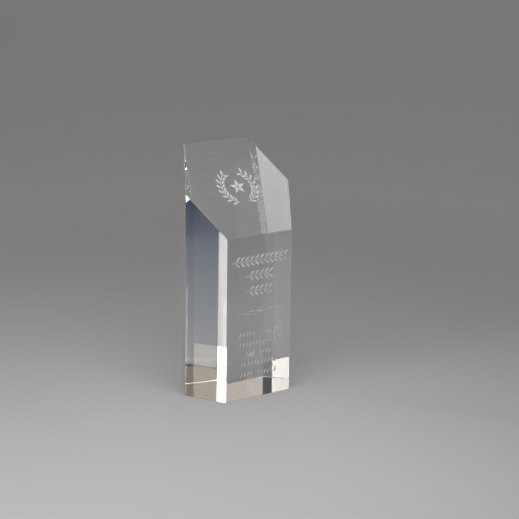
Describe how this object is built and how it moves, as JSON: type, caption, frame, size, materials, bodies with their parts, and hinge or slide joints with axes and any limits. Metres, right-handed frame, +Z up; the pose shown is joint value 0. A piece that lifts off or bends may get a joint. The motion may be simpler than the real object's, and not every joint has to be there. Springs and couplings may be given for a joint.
{
  "type": "crystal award",
  "caption": "Clear crystal award: an upright hexagonal block, cut at a slant on top, with an etched laurel and star emblem and rows of etched ornament.",
  "frame": {"origin": "middle of the flat base, on the surface that the award stands on", "axes": "+Z up, along the block's height; the inscribed front face looks along -Y; the slanted facet rises from the front (-Y) to the back (+Y); +X is to the right, seen from the front"},
  "size_m": [0.0752, 0.0494, 0.1522],
  "materials": {
    "crystal": "clear optical crystal, ground flat and polished on every face, with small polished bevels",
    "emblem_fill": "pale frosted fill in sand-etched marks, matt, slightly see-through",
    "inscription_fill": "pale frosted fill in sand-etched marks, matt, slightly see-through"
  },
  "bodies": {
    "root": {"crystal_block": "crystal", "emblem_star_fill": "emblem_fill", "emblem_wreath_left_fill": "emblem_fill", "emblem_wreath_right_fill": "emblem_fill", "flourish_fill": "inscription_fill", "heading_row_1_fill": "inscription_fill", "heading_row_2_fill": "inscription_fill", "heading_row_3_fill": "inscription_fill", "lower_row_1_fill": "inscription_fill", "lower_row_2_fill": "inscription_fill", "lower_row_3_fill": "inscription_fill", "lower_row_4_fill": "inscription_fill", "lower_row_5_fill": "inscription_fill"}
  },
  "joints": []
}
